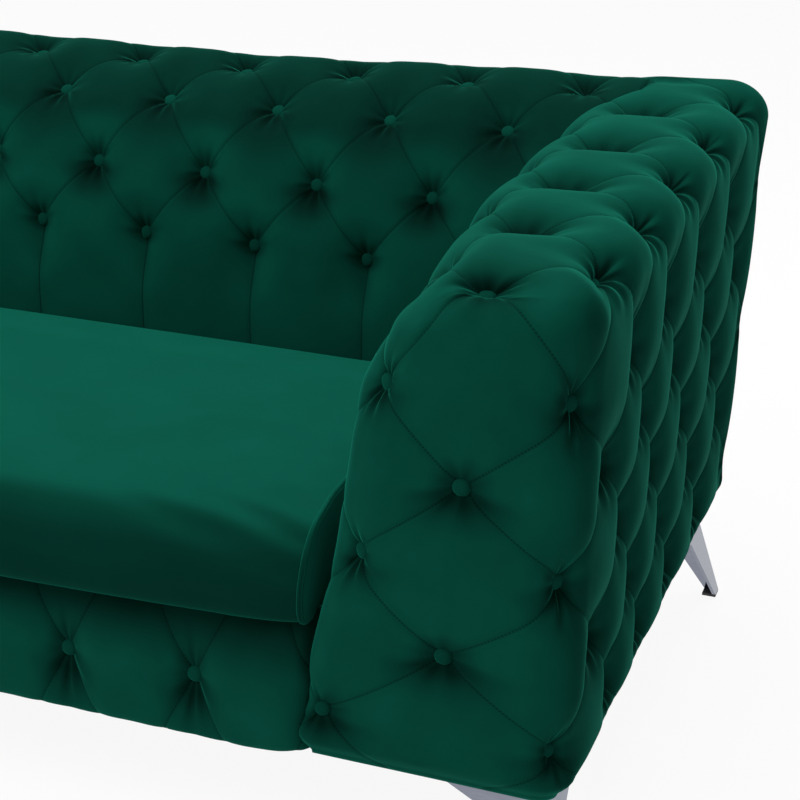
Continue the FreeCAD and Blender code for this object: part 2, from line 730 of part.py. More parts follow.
for side, sign in SIDES:
    edge_share = value("arm_width") / 2 / (value("arm_width") - 2 * value("arm_edge_inset"))

    def wrap_place(across, along, facing=sign, edge=edge_share):
        point, normal = wrap_path.at(wrap_length(along))
        inner, outer = arm_wall(point.z), value("sofa_length") / 2
        x = facing * (inner + outer) / 2 + across / edge * (outer - inner) / 2
        return point + FreeCAD.Vector(x, 0, 0), normal

    def outer_place(across, along, facing=sign):
        z = floor + (core_top - floor) * along / value("outer_rows")
        front, rear = nose_line(z), rear_line(z) + value("rear_cover_depth")
        y = front + (rear - front) * across / value("outer_columns")
        return FreeCAD.Vector(facing * value("arm_out"), y, z), FreeCAD.Vector(facing, 0, 0)

    def inner_place(across, along, facing=sign):
        z = deck + (core_top - deck) * along / value("inner_rows")
        front, rear = nose_line(z), back_line(z)
        y = front + (rear - front) * across / value("inner_columns")
        return FreeCAD.Vector(facing * arm_in, y, z), FreeCAD.Vector(-facing, 0, 0)

    wrap = TuftedPad(wrap_place, (-edge_share, edge_share, value("arm_width") / 2 / edge_share),
                     (wrap_tufts(0), wrap_tufts(wrap_path.length), value("top_pitch")),
                     even(value("wrap_pad")), [wrap_tufts(length) for length in nose_lengths])
    add_pad(wrap, f"arm_wrap_pad_{side}", f"arm_wrap_buttons_{side}")

    rows, columns = value("outer_rows"), value("outer_columns")
    depth_scale = (value("rear_foot") - core_front) / columns
    outer = TuftedPad(outer_place, (0, columns, depth_scale), (0, rows, (core_top - floor) / rows),
                      even(value("outer_pad")))
    add_pad(outer, f"arm_outer_pad_{side}", f"arm_outer_buttons_{side}")

    def inner_depth(along):
        return arm_in - arm_wall(deck + (core_top - deck) * along / value("inner_rows"))

    rows, columns = value("inner_rows"), value("inner_columns")
    depth_scale = (value("back_front_y") - core_front) / columns
    inner = TuftedPad(inner_place, (0, columns, depth_scale), (0, rows, (core_top - deck) / rows),
                      inner_depth)
    add_pad(inner, f"arm_inner_pad_{side}", f"arm_inner_buttons_{side}", behind_back())

# Loose seat cushion, tilted with the deck
run = value("deck_rear") - core_front
fall = value("deck_front_depth") - value("deck_rear_depth")
tilt = math.atan2(fall, run)
wall_front = value("cushion_bulge") - value("wrap_pad")
wall_rear = math.hypot(run, fall) - value("cushion_side") * math.sin(tilt) - value("cushion_gap")
cushion_half = seat_half - value("cushion_gap")


def cushion_section(x, crown):
    """Flat underside, swollen front, crowned top and an upright rear."""
    side = value("cushion_side")
    rear_low, rear_high = FreeCAD.Vector(x, wall_rear, 0), FreeCAD.Vector(x, wall_rear, side)
    front_low, front_high = FreeCAD.Vector(x, wall_front, 0), FreeCAD.Vector(x, wall_front, side)
    swell = FreeCAD.Vector(x, wall_front - value("cushion_bulge"), side / 2)
    peak = FreeCAD.Vector(x, (wall_front + wall_rear) / 2, side + crown)
    sides = [Part.makeLine(rear_low, front_low), Part.Arc(front_low, swell, front_high).toShape(),
             Part.Arc(front_high, peak, rear_high).toShape(), Part.makeLine(rear_high, rear_low)]
    return Part.Wire(sides)


CROWN_SHARES = ((-1, 0.45), (-0.8, 0.9), (0, 1), (0.8, 0.9), (1, 0.45))
sections = [cushion_section(share * cushion_half, crown * value("cushion_crown"))
            for share, crown in CROWN_SHARES]
deck_edge = FreeCAD.Vector(0, core_front, deck + value("deck_front_depth") + value("rest_gap"))
on_deck = FreeCAD.Placement(deck_edge, FreeCAD.Rotation(FreeCAD.Vector(1, 0, 0), -math.degrees(tilt)))
formed("seat_cushion", Part.makeLoft(sections, True, False)).Placement = on_deck
ZIP_SHARE, ZIP_WIDTH, ZIP_GAUGE = 0.9, 14, 2
zip_corner = FreeCAD.Vector(-ZIP_SHARE * cushion_half, wall_rear, (value("cushion_side") - ZIP_WIDTH) / 2)
zip_strip = Part.makeBox(2 * ZIP_SHARE * cushion_half, ZIP_GAUGE, ZIP_WIDTH, zip_corner)
formed("cushion_zip", zip_strip).Placement = on_deck

# Legs, glides and screws
screws = []
glides = []
for side, sign in SIDES:
    for end, facing in ENDS:
        name = f"leg_{end}_{side}"
        leg = doc.addObject("PartDesign::Body", name)
        sections = []
        for level, wing, out, lift in (("foot", "leg_wing_foot", "leg_splay", "glide_height"),
                                       ("waist", "leg_wing_waist", "leg_splay * 0.3", "leg_waist_height"),
                                       ("top", "leg_wing_top", "0", "leg_height - leg_sheet")):
            steps = (("0", "0"), (wing, "0"), (wing, "leg_sheet"), ("leg_sheet", "leg_sheet"),
                     ("leg_sheet", wing), ("0", wing))
            corners = [(f"{sign} * ({out} - ({a}))", f"{facing} * ({out} - ({b}))") for a, b in steps]
            sections.append(outline(leg, f"{name}_{level}", "XY_Plane", corners, lift))
        blade = leg.newObject("PartDesign::AdditiveLoft", f"{name}_blade")
        blade.Profile = sections[0]
        blade.Sections = sections[1:]
        blade.Ruled = True
        plate_corners = [("0", "0"), (f"-{sign} * leg_plate", "0"),
                         (f"-{sign} * leg_plate", f"-{facing} * leg_plate"), ("0", f"-{facing} * leg_plate")]
        plate_sketch = outline(leg, f"{name}_plate_outline", "XY_Plane", plate_corners, "leg_height - leg_sheet")
        plate = leg.newObject("PartDesign::Pad", f"{name}_plate")
        plate.Profile = plate_sketch
        bind(plate, "Length", "leg_sheet")
        drill = leg.newObject("Sketcher::SketchObject", f"{name}_holes")
        drill.AttachmentSupport = [(plane_of(leg, "XY_Plane"), "")]
        drill.MapMode = "FlatFace"
        bind(drill, "AttachmentOffset.Base.z", "leg_height")
        for k, (across, along) in enumerate(SCREW_SHARES):
            drill.addGeometry(Part.Circle(FreeCAD.Vector(k * 20, 0, 0), FreeCAD.Vector(0, 0, 1), 3), False)
            for kind, text in (("DistanceX", f"-{sign} * {across} * leg_plate"),
                               ("DistanceY", f"-{facing} * {along} * leg_plate")):
                index = drill.addConstraint(Sketcher.Constraint(kind, -1, 1, k, 3, 1.0))
                bind(drill, f"Constraints[{index}]", text)
            index = drill.addConstraint(Sketcher.Constraint("Radius", k, 3.0))
            bind(drill, f"Constraints[{index}]", "screw_radius + hole_gap")
        doc.recompute()
        pocket = leg.newObject("PartDesign::Pocket", f"{name}_drilled")
        pocket.Profile = drill
        bind(pocket, "Length", "leg_sheet")
        set_place(leg, f"{sign} * leg_out", f"leg_{end}", "0")
        keep(leg, name)
        foot_x = f"{sign} * (leg_out + leg_splay)" + ("" if sign < 0 else " - leg_wing_foot")
        foot_y = f"leg_{end} + {facing} * leg_splay" + ("" if facing < 0 else " - leg_wing_foot")
        glides.append(block(f"glide_{end}_{side}", ("leg_wing_foot", "leg_wing_foot", "glide_height"),
                            (foot_x, foot_y, "0")))
        for k, (x, y) in enumerate(screw_spots(sign, end, facing)):
            under = "leg_height - leg_sheet"
            shank = rod(f"screw_shank_{end}_{side}_{k}", "screw_radius", "leg_sheet + screw_length", (x, y, under))
            head = rod(f"screw_head_{end}_{side}_{k}", "screw_head", "screw_radius",
                       (x, y, f"{under} - screw_radius"))
            screws.append(joined(f"screw_{end}_{side}_{k}", [shank, head]))
keep(group("leg_glides", glides), "leg_glides")
keep(group("leg_screws", screws), "leg_screws")

doc.recompute()
faults = [item.Name for item in doc.Objects if {"Invalid", "Error"} & set(item.State)]
faults += [item.Label for item in nodes if item.Shape.isNull() or not item.Shape.isValid()]
if faults:
    raise RuntimeError("not built: " + ", ".join(faults))
os.makedirs("parts", exist_ok=True)
for item in nodes:
    item.Shape.exportStep(f"parts/{item.Label}.step")
print(len(nodes), "sub-parts written")
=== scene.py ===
import math

import bpy
import numpy as np
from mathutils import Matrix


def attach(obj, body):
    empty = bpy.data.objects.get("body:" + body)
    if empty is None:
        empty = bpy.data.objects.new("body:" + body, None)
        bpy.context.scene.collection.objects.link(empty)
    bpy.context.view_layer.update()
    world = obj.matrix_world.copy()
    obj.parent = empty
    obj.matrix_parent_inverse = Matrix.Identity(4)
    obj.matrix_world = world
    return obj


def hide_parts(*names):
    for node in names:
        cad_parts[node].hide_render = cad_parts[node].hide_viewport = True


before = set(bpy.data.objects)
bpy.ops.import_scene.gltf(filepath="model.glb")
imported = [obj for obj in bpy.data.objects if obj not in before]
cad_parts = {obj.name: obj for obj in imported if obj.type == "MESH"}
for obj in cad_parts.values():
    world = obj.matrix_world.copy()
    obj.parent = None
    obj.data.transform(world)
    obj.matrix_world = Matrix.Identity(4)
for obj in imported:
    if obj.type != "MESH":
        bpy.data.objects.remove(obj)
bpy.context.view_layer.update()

# Places shared by the pieces, in metres
FLOOR_LINE = 0.165
CORE_TOP = 0.714
FOOT_LEVEL = 0.168
DECK = 0.292
RAKE = 0.092
ARM_OUT = 1.004
ARM_TOP_IN = 0.750
ARM_SPREAD = 0.085

# Tufting: lengths in metres; the angles, shares and counts are plain numbers
SEAM_STEP = 0.131
BUTTON = 0.0105
BUTTON_SEAT = 0.002
PLEAT_COUNT = 8
PLEAT_PHASE = (2.1, 3.7)
PLEAT_UNDER = (-0.04, 0.16)
PLEAT_HEIGHT = 0.0016
PIT_DEPTH = 0.005
PIT_SPREAD = 0.12
CREASE = 0.04
MID_TUFT = 0.5


# Number helpers
def smooth(low, high, x):
    """Zero up to low, one from high on, with an easy S between."""
    t = np.clip((x - low) / (high - low), 0, 1)
    return t * t * (3 - 2 * t)


def along(knots, x):
    """Straight lines through (x, value) knots given in either order of x."""
    xs, ys = zip(*sorted(knots))
    return np.interp(x, xs, ys)


def height_share(z):
    return (z - FOOT_LEVEL) / (CORE_TOP - FOOT_LEVEL)


def arm_wall(z):
    """X of the right arm's padded seat side at a height."""
    return ARM_TOP_IN - ARM_SPREAD * (1 - np.minimum(height_share(z), 1))


def unit(v):
    return v / np.linalg.norm(v, axis=-1, keepdims=True)


# Mesh helpers
def quad_grid(rows, columns):
    """Vertex numbers of the quads of a grid stored row by row."""
    number = np.arange(rows * columns).reshape(rows, columns)
    corners = (number[:-1, :-1], number[1:, :-1], number[1:, 1:], number[:-1, 1:])
    return np.stack(corners, axis=-1).reshape(-1, 4)


def ring_quads(rows, columns):
    """Vertex numbers of a stack of closed rings, and those of the quads from ring to ring."""
    number = np.arange(rows * columns).reshape(rows, columns)
    after = np.roll(number, -1, axis=1)
    quads = np.stack([number[:-1], number[1:], after[1:], after[:-1]], axis=-1)
    return number, quads.reshape(-1, 4)


def new_piece(name, points, quads, uv=None):
    """A smooth mesh object; uv gives one pair of numbers to each corner of each quad."""
    mesh = bpy.data.meshes.new(name)
    mesh.from_pydata(points.tolist(), [], quads.tolist())
    if uv is not None:
        layer = mesh.uv_layers.new(name="tuft")
        layer.data.foreach_set("uv", np.ascontiguousarray(uv, dtype=np.float32).ravel())
    mesh.polygons.foreach_set("use_smooth", np.ones(len(mesh.polygons), dtype=bool))
    piece = bpy.data.objects.new(name, mesh)
    bpy.context.scene.collection.objects.link(piece)
    return piece


def outward(points, quads):
    """The quads turned so that the closed surface's volume is positive."""
    a, b, c, d = (points[quads[:, k]] for k in range(4))
    volume = np.einsum("ij,ij->i", np.cross(b - a, c - a), a).sum()
    volume += np.einsum("ij,ij->i", np.cross(c - a, d - a), a).sum()
    return quads if volume > 0 else quads[:, ::-1]


def shell(name, front, back, uv):
    """A closed pad from two grids of one size: the front, the back and a strip round their rims."""
    rows, columns = front.shape[:2]
    count = rows * columns
    points = np.concatenate([front.reshape(-1, 3), back.reshape(-1, 3)])
    number = np.arange(count).reshape(rows, columns)
    rim = np.concatenate([number[0, :-1], number[:-1, -1], number[-1, :0:-1], number[:0:-1, 0]])
    after = np.roll(rim, -1)
    face = quad_grid(rows, columns)
    strip = np.stack([after, rim, rim + count, after + count], axis=-1)
    quads = np.concatenate([face[:, ::-1], face + count, strip])
    pair = np.concatenate([uv.reshape(-1, 2)] * 2)
    turned = outward(points, quads)
    return new_piece(name, points, turned, pair[turned])


# Tufting
def pleats(s, t):
    """Ripples that fan out of each button, deeper on its under side: a sine of the angle about the
    button, with a phase of its own there, between an inner and an outer reach."""
    round_s, round_t = np.round(s), np.round(t)
    off_s, off_t = s - round_s, t - round_t
    reach = np.hypot(off_s, off_t) * SEAM_STEP
    phase = PLEAT_PHASE[0] * round_s + PLEAT_PHASE[1] * round_t
    ripple = np.sin(PLEAT_COUNT * np.arctan2(off_t, off_s) + phase)
    under = smooth(*PLEAT_UNDER, off_t - off_s)
    return ripple * (0.45 + 0.75 * under) * smooth(0.008, 0.019, reach) * smooth(0.052, 0.020, reach)


def tuft_height(s, t, pillow, lift, pleat=PLEAT_HEIGHT):
    """Height of buttoned cloth over its pits. Whole s and whole t are the seams and buttons lie
    where both are whole: a seam sags to each button as one less the square of both cosines,
    between seams a pillow stands as a power of both sines, and a bell-shaped pit takes the button."""
    square, other = np.sin(np.pi * s) ** 2, np.sin(np.pi * t) ** 2
    swell = (np.sqrt(square + CREASE ** 2) - CREASE) * (np.sqrt(other + CREASE ** 2) - CREASE)
    sag = (1 - square) * (1 - other)
    bell = np.exp(-(square + other) / PIT_SPREAD)
    cloth = lift * (1 - sag) ** 0.55 + pillow * np.clip(swell, 0, None) ** 0.65
    return cloth - PIT_DEPTH * bell + pleat * pleats(s, t)


def lattice(across, down):
    """Seam numbers of a place whose buttons lie where across + down is even."""
    return (across + down) / 2, (across - down) / 2


# Arms
ARM_LOW = np.array([ARM_TOP_IN, -0.450, FLOOR_LINE])
ARM_HIGH = np.array([ARM_OUT, 0.464, 0.768])
ARM_ROUND = 0.058
FOOT_TIGHTER = 0.018
SEAT_TIGHTER = 0.022
REAR_ROUND = 0.028
ARM_TAPER = 0.010
ARM_PILLOW = np.array([0.008, 0.004, 0.006])
ARM_LIFT = np.array([0.018, 0.013, 0.031])
ARM_MIDDLE = np.array([0.87, 0.0, 0.45])
FOOT_CURL = 0.018
SLACK_IN = 0.035
SLACK_DOWN = 0.030
NOSE_FADE = (0.72, 0.60)
FRONT_FADE = (-0.45, -0.30)
# Rows and columns of the tufts: (place, number) along the top and down the front
TOP_EDGE = ((-0.45, 0), (-0.325, 1), (-0.25, 2), (-0.17, 3), (-0.095, 4), (-0.01, 5), (0.075, 6),
            (0.17, 7), (0.262, 8), (0.36, 9), (0.455, 10))
TOP_MIDDLE = ((-0.45, -0.12), (-0.425, 0)) + TOP_EDGE[2:]
FRONT_EDGE = ((0.768, 0), (0.635, 1), (0.53, 2), (0.433, 3), (0.325, 4), (0.228, 5), (0.13, 6))
FRONT_MIDDLE = ((0.768, 0.12),) + FRONT_EDGE[2:]
ARM_STEP = 0.0046
EDGE_INSIDE = 0.20


def arm_lattice(q, face):
    """Seam numbers on one face of the arm's box; faces agree along the edges they share. Below the
    nose the seat-side column of buttons stands a little inside the edge of the front."""
    x, y, z = q[..., 0], q[..., 1], q[..., 2]
    inside = EDGE_INSIDE * smooth(*NOSE_FADE, z)
    if face in ("front", "top"):
        half = (ARM_HIGH[0] - ARM_LOW[0]) / 2
        across = (x - ARM_LOW[0]) / half - 1
        across = across + 0.10 * smooth(*FRONT_FADE, y) * (1 - across ** 2)
        across = across - inside * np.clip(-across, 0, None)
        share = np.minimum(across ** 2, 1)
        if face == "top":
            run = along(TOP_MIDDLE, y) * (1 - share) + along(TOP_EDGE, y) * share
        else:
            run = along(FRONT_MIDDLE, z) * (1 - share) + along(FRONT_EDGE, z) * share
        return lattice(across, -run)
    inside = inside * smooth(-0.30, -0.45, y) if face == "inner" else 0
    return lattice(1 + along(TOP_EDGE, y) + inside, -along(FRONT_EDGE, z))


def arm_surface(q, s, t):
    """Point and way out of the padded arm over a point of its sharp box. The box is rounded by
    going one radius out of its core, less near the foot. The cloth sinks along the same way by
    what the tufts lack and curls in at the foot. The upper seat edge is drawn in to a large round
    at the front. The whole is sheared: seat side out towards the foot, outside and rear in."""
    seat_foot = SEAT_TIGHTER * smooth(0.94, 0.83, q[..., 0]) * smooth(0.44, 0.28, q[..., 2])
    radius = ARM_ROUND - FOOT_TIGHTER * smooth(0.42, 0.20, q[..., 2]) - seat_foot
    radius = np.repeat(radius[..., None], 3, axis=-1)
    low, high = ARM_LOW + radius, ARM_HIGH - radius
    low[..., 2], high[..., 1] = 0, ARM_HIGH[1] - REAR_ROUND
    core = np.clip(q, low, high)
    radius[..., 1] = np.where(q[..., 1] > 0, REAR_ROUND, radius[..., 1])
    way = unit((q - core) / radius)
    weight = way ** 2
    pillow = weight @ ARM_PILLOW
    lift = weight @ ARM_LIFT
    seat_side = np.clip(-way[..., 0], 0, 1) ** 2
    pillow, lift = pillow - 0.003 * seat_side, lift - 0.006 * seat_side
    keep = 1 - smooth(0.400, 0.455, q[..., 1])
    above = q[..., 2] - FLOOR_LINE
    keep = keep * (1 - 0.9 * smooth(0.070, 0.005, above))
    sunk = (pillow + lift - tuft_height(s, t, pillow, lift)) * keep
    sunk = sunk + FOOT_CURL * smooth(0.040, 0.0, above) ** 2
    p = core + (radius - sunk[..., None]) * way
    slack = smooth(0.0, 1.0, (0.87 - p[..., 0]) / 0.11) * smooth(0.0, 1.0, (p[..., 2] - 0.60) / 0.168)
    slack = slack * (0.45 + 0.55 * smooth(-0.10, -0.40, p[..., 1]))
    p[..., 0] += SLACK_IN * slack
    p[..., 2] -= SLACK_DOWN * slack + 0.008 * smooth(0.0, 0.45, p[..., 1]) * np.clip(way[..., 2], 0, 1)
    drop = 1 - np.minimum(height_share(p[..., 2]), 1)
    outer = (p[..., 0] - ARM_TOP_IN) / (ARM_OUT - ARM_TOP_IN)
    p[..., 0] -= drop * (ARM_SPREAD * (1 - outer) + ARM_TAPER * outer)
    p[..., 1] -= RAKE * drop * np.clip((p[..., 1] + 0.45) / 0.9, 0, 1)
    return p, way


def coons(rows_low, rows_high, columns_low, columns_high):
    """A grid filled in between its four edges."""
    u = np.linspace(0, 1, len(columns_low))[:, None, None]
    v = np.linspace(0, 1, len(rows_low))[None, :, None]
    ruled = (1 - u) * rows_low[None] + u * rows_high[None]
    ruled = ruled + (1 - v) * columns_low[:, None] + v * columns_high[:, None]
    corners = (1 - u) * ((1 - v) * rows_low[0] + v * rows_low[-1])
    return ruled - corners - u * ((1 - v) * rows_high[0] + v * rows_high[-1])


def arm_cover(side, sign):
    """One closed cover over an arm: five tufted or plain faces of a rounded box and an underside."""
    counts = [int(round(size / ARM_STEP)) + 1 for size in ARM_HIGH - ARM_LOW]
    xs, ys, zs = (np.linspace(a, b, n) for a, b, n in zip(ARM_LOW, ARM_HIGH, counts))
    plan = (("front", (xs, ys[:1], zs)), ("rear", (xs, ys[-1:], zs)), ("inner", (xs[:1], ys, zs)),
            ("outer", (xs[-1:], ys, zs)), ("top", (xs, ys, zs[-1:])))
    boxes, points, quads, pairs, first = [], [], [], [], 0
    edge = {}
    for face, axes in plan:
        q = np.stack(np.meshgrid(*axes, indexing="ij"), axis=-1).squeeze()
        s, t = arm_lattice(q, face)
        p = arm_surface(q, s, t)[0]
        edge[face] = p[:, 0]
        boxes.append(q)
        points.append(p)
        plain_pair = np.full(q.shape[:2] + (2,), MID_TUFT)
        pairs.append(plain_pair if face == "rear" else np.stack([s, t], axis=-1))
    under = coons(edge["inner"], edge["outer"], edge["front"], edge["rear"])
    boxes.append(np.stack(np.meshgrid(xs, ys, zs[:1], indexing="ij"), axis=-1).squeeze())
    points.append(under)
    pairs.append(np.full(under.shape[:2] + (2,), MID_TUFT))
    for q, p in zip(boxes, points):
        cells = quad_grid(*p.shape[:2])
        grid = p.reshape(-1, 3)
        a, b, d = (grid[cells[len(cells) // 2, k]] for k in (0, 1, 3))
        out = grid.mean(axis=0) - ARM_MIDDLE
        if np.dot(np.cross(b - a, d - a), out) < 0:
            cells = cells[:, ::-1]
        quads.append(cells + first)
        first += len(grid)
    quads = np.concatenate(quads)
    flat = np.concatenate([p.reshape(-1, 3) for p in points])
    pair = np.concatenate([p.reshape(-1, 2) for p in pairs])[quads]
    keys = np.round(np.concatenate([q.reshape(-1, 3) for q in boxes]), 6)
    _, spot, shared = np.unique(keys, axis=0, return_index=True, return_inverse=True)
    welded = flat[spot]
    quads = shared.reshape(-1)[quads]
    if sign < 0:
        welded = welded * np.array([-1, 1, 1])
        quads, pair = quads[:, ::-1], pair[:, ::-1]
    piece = new_piece(f"arm_cover_{side}", welded, quads, pair)
    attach(piece, "sofa")
    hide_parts(f"arm_wrap_pad_{side}", f"arm_outer_pad_{side}", f"arm_inner_pad_{side}")
    return piece


# Buttons
BUTTON_PROFILE = np.array([(0.0, 0.0056), (0.30, 0.0055), (0.58, 0.0050), (0.80, 0.0039), (0.94, 0.0022),
                           (1.0, 0.0004), (0.97, -0.0016), (0.80, -0.0040)])
TOP_BUTTON_SHIFT = 0.0125


def button_grid():
    """A flattened dome with a rolled rim, turned about z, seat at z = 0."""
    turn = np.linspace(0, 2 * np.pi, 25)[:-1]
    radius, level = BUTTON_PROFILE[1:, 0] * BUTTON, BUTTON_PROFILE[1:, 1]
    ring = np.stack([radius[:, None] * np.cos(turn), radius[:, None] * np.sin(turn),
                     np.repeat(level[:, None], len(turn), axis=1)], axis=-1)
    points = np.concatenate([ring.reshape(-1, 3), [[0, 0, BUTTON_PROFILE[0, 1]], [0, 0, level[-1]]]])
    number, sides = ring_quads(*ring.shape[:2])
    top, low = number.size, number.size + 1
    caps = [[top, a, b] for a, b in zip(number[0], np.roll(number[0], -1))]
    caps += [[low, b, a] for a, b in zip(number[-1], np.roll(number[-1], -1))]
    return points, sides, np.array(caps)


def button_set(name, places, ways, node):
    """Covered buttons at places, each turned to its way out, as one piece."""
    points, sides, caps = button_grid()
    ways = unit(ways)
    near = np.where(np.abs(ways[:, 2:]) < 0.9, [[0.0, 0.0, 1.0]], [[0.0, 1.0, 0.0]])
    right = unit(np.cross(near, ways))
    up = np.cross(ways, right)
    moved = (points[None, :, :1] * right[:, None] + points[None, :, 1:2] * up[:, None]
             + points[None, :, 2:] * ways[:, None] + places[:, None])
    shift = (np.arange(len(places)) * len(points))[:, None, None]
    faces = (sides[None] + shift).reshape(-1, 4).tolist() + (caps[None] + shift).reshape(-1, 3).tolist()
    mesh = bpy.data.meshes.new(name)
    mesh.from_pydata(moved.reshape(-1, 3).tolist(), [], faces)
    mesh.polygons.foreach_set("use_smooth", np.ones(len(mesh.polygons), dtype=bool))
    piece = bpy.data.objects.new(name, mesh)
    bpy.context.scene.collection.objects.link(piece)
    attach(piece, "sofa")
    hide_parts(node)
    return piece


def flipped(knots):
    return tuple((b, a) for a, b in knots)


def arm_buttons(side, sign):
    """Buttons of the arm at the lattice's crossings, on the cover they pull down."""
    sets = {"wrap": [], "outer": [], "inner": []}
    x_in, x_out = ARM_LOW[0], ARM_HIGH[0]
    middle = (x_in + x_out) / 2
    for k in (0, 2, 4, 6, 8):
        y = along(flipped(TOP_MIDDLE), k)
        x = middle - TOP_BUTTON_SHIFT * smooth(*FRONT_FADE, y)
        sets["wrap"].append(("top", (x, y, ARM_HIGH[2])))
    for k in (2, 4):
        sets["wrap"].append(("front", (middle, ARM_LOW[1], along(flipped(FRONT_MIDDLE), k))))
    for x in (x_in, x_out):
        for k in (1, 3, 5, 7):
            sets["wrap"].append(("top", (x, along(flipped(TOP_EDGE), k), ARM_HIGH[2])))
        for k in (1, 3, 5):
            z = along(flipped(FRONT_EDGE), k)
            inset = (middle - x_in) * (1 - 1 / (1 + EDGE_INSIDE * smooth(*NOSE_FADE, z)))
            sets["wrap"].append(("front", (x if x == x_out else x + inset, ARM_LOW[1], z)))
    for face, x, last in (("outer", x_out, 5), ("inner", x_in, 4)):
        for column in range(1, 10):
            for row in range(1, last + 1):
                if (1 + column + row) % 2 == 0:
                    y, z = along(flipped(TOP_EDGE), column), along(flipped(FRONT_EDGE), row)
                    sets[face].append((face, (x, y, z)))
    mirror = np.array([sign, 1, 1])
    pieces = []
    for kind, spots in sets.items():
        places, ways = [], []
        for face, q in spots:
            q = np.array(q, dtype=float)
            s, t = arm_lattice(q, face)
            p, way = arm_surface(q, s, t)
            places.append((p + BUTTON_SEAT * way) * mirror)
            ways.append(way * mirror)
        name = f"arm_{kind}_buttons_{side}"
        pieces.append(button_set(f"{name}_covered", np.array(places), np.array(ways), name))
    return pieces


# Back
BACK_ROWS = ((0.2305, 0), (0.3155, 1), (0.4086, 2), (0.486, 3), (0.556, 4), (0.62, 5))
BACK_BUTTONED = BACK_ROWS[:4]
BACK_PITCH = 0.170
BACK_TUFT = (0.005, 0.022)
BACK_LENGTH = 0.62
BACK_FOOT = 0.222
LEAN_RADIUS, LEAN = 0.290, math.radians(35)
ROLL_RADIUS, ROLL = 0.153, math.radians(55)
BACK_THICK = 0.056


def back_path(count):
    """Lengths, points (y, z) and ways out along the back: up, leaning, rolling over, down behind."""
    rise = LEAN_RADIUS * math.sin(LEAN) + ROLL_RADIUS * (1 - math.sin(LEAN))
    straight = CORE_TOP - DECK - rise
    leant_at = straight + LEAN_RADIUS * LEAN
    flat_at = leant_at + ROLL_RADIUS * ROLL
    lengths = np.linspace(0, BACK_LENGTH, count)
    bends = ((0, 90.0), (straight, 90.0), (leant_at, 55.0), (flat_at, 0.0),
             (flat_at + 0.002, 0.0), (flat_at + 0.045, -85.0), (BACK_LENGTH, -100.0))
    angle = np.radians(along(bends, lengths))
    step = lengths[1] - lengths[0]
    y = BACK_FOOT + np.concatenate([[0], np.cumsum(np.cos((angle[1:] + angle[:-1]) / 2))]) * step
    z = DECK + np.concatenate([[0], np.cumsum(np.sin((angle[1:] + angle[:-1]) / 2))]) * step
    return lengths, y, z, -np.sin(angle), np.cos(angle)


def back_surface(x, run, y, z, wy, wz):
    """Tufted back over its board: diamonds above the lowest row of buttons, flat upright channels
    below, and a crest that rises a little to meet the arms."""
    row = along(BACK_ROWS, run)
    s, t = lattice(2 * x / BACK_PITCH, np.maximum(row, 0))
    pillow, lift = BACK_TUFT
    below = np.clip((BACK_ROWS[0][0] - run) / 0.05, 0, None)
    sunk = pillow + lift - tuft_height(s, t, pillow, lift)
    channel = tuft_height(s, t, pillow, 0, pleat=0) - pillow
    ease = 1 - np.exp(-below ** 2)
    sunk = sunk * (1 - ease) - channel * ease * 0.35
    fade = smooth(0.500, 0.550, run)
    upper = smooth(0.36, 0.47, run)
    depth = BACK_THICK - 0.018 * upper - sunk * (1 - fade) * (1 - 0.10 * upper) - 0.018 * fade
    depth = depth - 0.012 * smooth(0.10, 0.0, run) + 0.014 * upper * smooth(0.25, 0.72, np.abs(x))
    p = np.stack([x, y + wy * depth, z + wz * depth], axis=-1)
    return p, np.stack([s, t], axis=-1), ease


def back_cover():
    """The tufted back as a closed pad between the arms, and its buttons. A mark on the mesh says
    where its diamonds ease into channels."""
    run, y, z, wy, wz = back_path(156)
    wide = np.linspace(-1, 1, 315)
    edge = arm_wall(z) + 0.012 + 0.085 * smooth(0.60, 0.70, z)
    x = wide[None, :] * edge[:, None]
    grid = [np.repeat(v[:, None], len(wide), axis=1) for v in (run, y, z, wy, wz)]
    front, pair, ease = back_surface(x, *grid)
    back = np.stack([x, grid[1] + 0.003 * grid[3], grid[2] + 0.003 * grid[4]], axis=-1)
    piece = shell("back_cover", front, back, pair)
    mark = piece.data.attributes.new("ease", "FLOAT", "POINT")
    mark.data.foreach_set("value", np.tile(ease.ravel(), 2).astype(np.float32))
    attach(piece, "sofa")
    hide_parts("back_pad")
    places, ways = [], []
    fine = back_path(2481)
    for length, row in BACK_BUTTONED:
        column = np.arange(-4, 5) if row % 2 == 0 else np.arange(-4, 4) + 0.5
        spot = [np.full(len(column), along(tuple(zip(fine[0], v)), length)) for v in fine[1:]]
        p = back_surface(column * BACK_PITCH, np.full(len(column), length), *spot)[0]
        way = np.stack([np.zeros(len(column)), spot[2], spot[3]], axis=-1)
        places.append(p + BUTTON_SEAT * way)
        ways.append(way)
    places, ways = np.concatenate(places), np.concatenate(ways)
    return [piece, button_set("back_buttons_covered", places, ways, "back_buttons")]


# Front border under the cushion
BORDER_COLUMNS = (0.070, 0.2095, 0.374, 0.5385, 0.703)
BORDER_KNOTS = tuple((sign * x, sign * (2 * k + 1)) for k, x in enumerate(BORDER_COLUMNS + (0.8675,))
                     for sign in (-1, 1))
BORDER_ROW = 0.231
BORDER_HALF = 0.705
BORDER_LOW = 0.150
BORDER_TOP = 0.335
BORDER_TUFT = (0.005, 0.015)
BORDER_BOARD = -0.402


